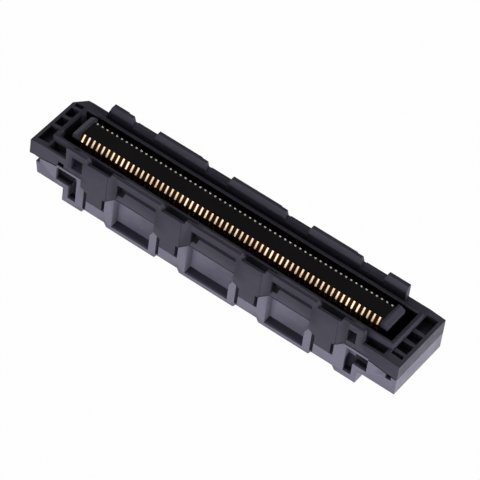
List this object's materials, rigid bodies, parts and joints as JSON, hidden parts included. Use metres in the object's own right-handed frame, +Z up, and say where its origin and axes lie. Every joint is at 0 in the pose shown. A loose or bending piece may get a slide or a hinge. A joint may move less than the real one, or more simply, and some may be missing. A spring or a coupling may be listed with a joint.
{
  "type": "board-to-board connector",
  "caption": "Long black surface-mount board-to-board connector with a central tongue of gold-plated contacts inside a castellated shroud, on a windowed base.",
  "frame": {"origin": "middle of the underside, on the plane of the feet and solder tails", "axes": "+X along the contact rows, with the keyed corner at -X +Y; +Y across the rows; +Z up from the board, towards the mating connector"},
  "size_m": [0.059, 0.0104, 0.01],
  "materials": {
    "upper_plastic": "satin glass-filled moulding",
    "base_plastic": "satin glass-filled moulding",
    "contact_plating": "gold-plated stamped strip",
    "hold_down_plating": "plated stamped strip"
  },
  "bodies": {
    "root": {"upper_housing": "upper_plastic", "base_housing": "base_plastic", "left_hold_down": "hold_down_plating", "right_hold_down": "hold_down_plating", "front_contacts_01": "contact_plating", "front_contacts_02": "contact_plating", "front_contacts_03": "contact_plating", "front_contacts_04": "contact_plating", "front_contacts_05": "contact_plating", "front_contacts_06": "contact_plating", "front_contacts_07": "contact_plating", "front_contacts_08": "contact_plating", "front_contacts_09": "contact_plating", "front_contacts_10": "contact_plating", "front_contacts_11": "contact_plating", "front_contacts_12": "contact_plating", "rear_contacts_01": "contact_plating", "rear_contacts_02": "contact_plating", "rear_contacts_03": "contact_plating", "rear_contacts_04": "contact_plating", "rear_contacts_05": "contact_plating", "rear_contacts_06": "contact_plating", "rear_contacts_07": "contact_plating", "rear_contacts_08": "contact_plating", "rear_contacts_09": "contact_plating", "rear_contacts_10": "contact_plating", "rear_contacts_11": "contact_plating", "rear_contacts_12": "contact_plating"}
  },
  "joints": []
}
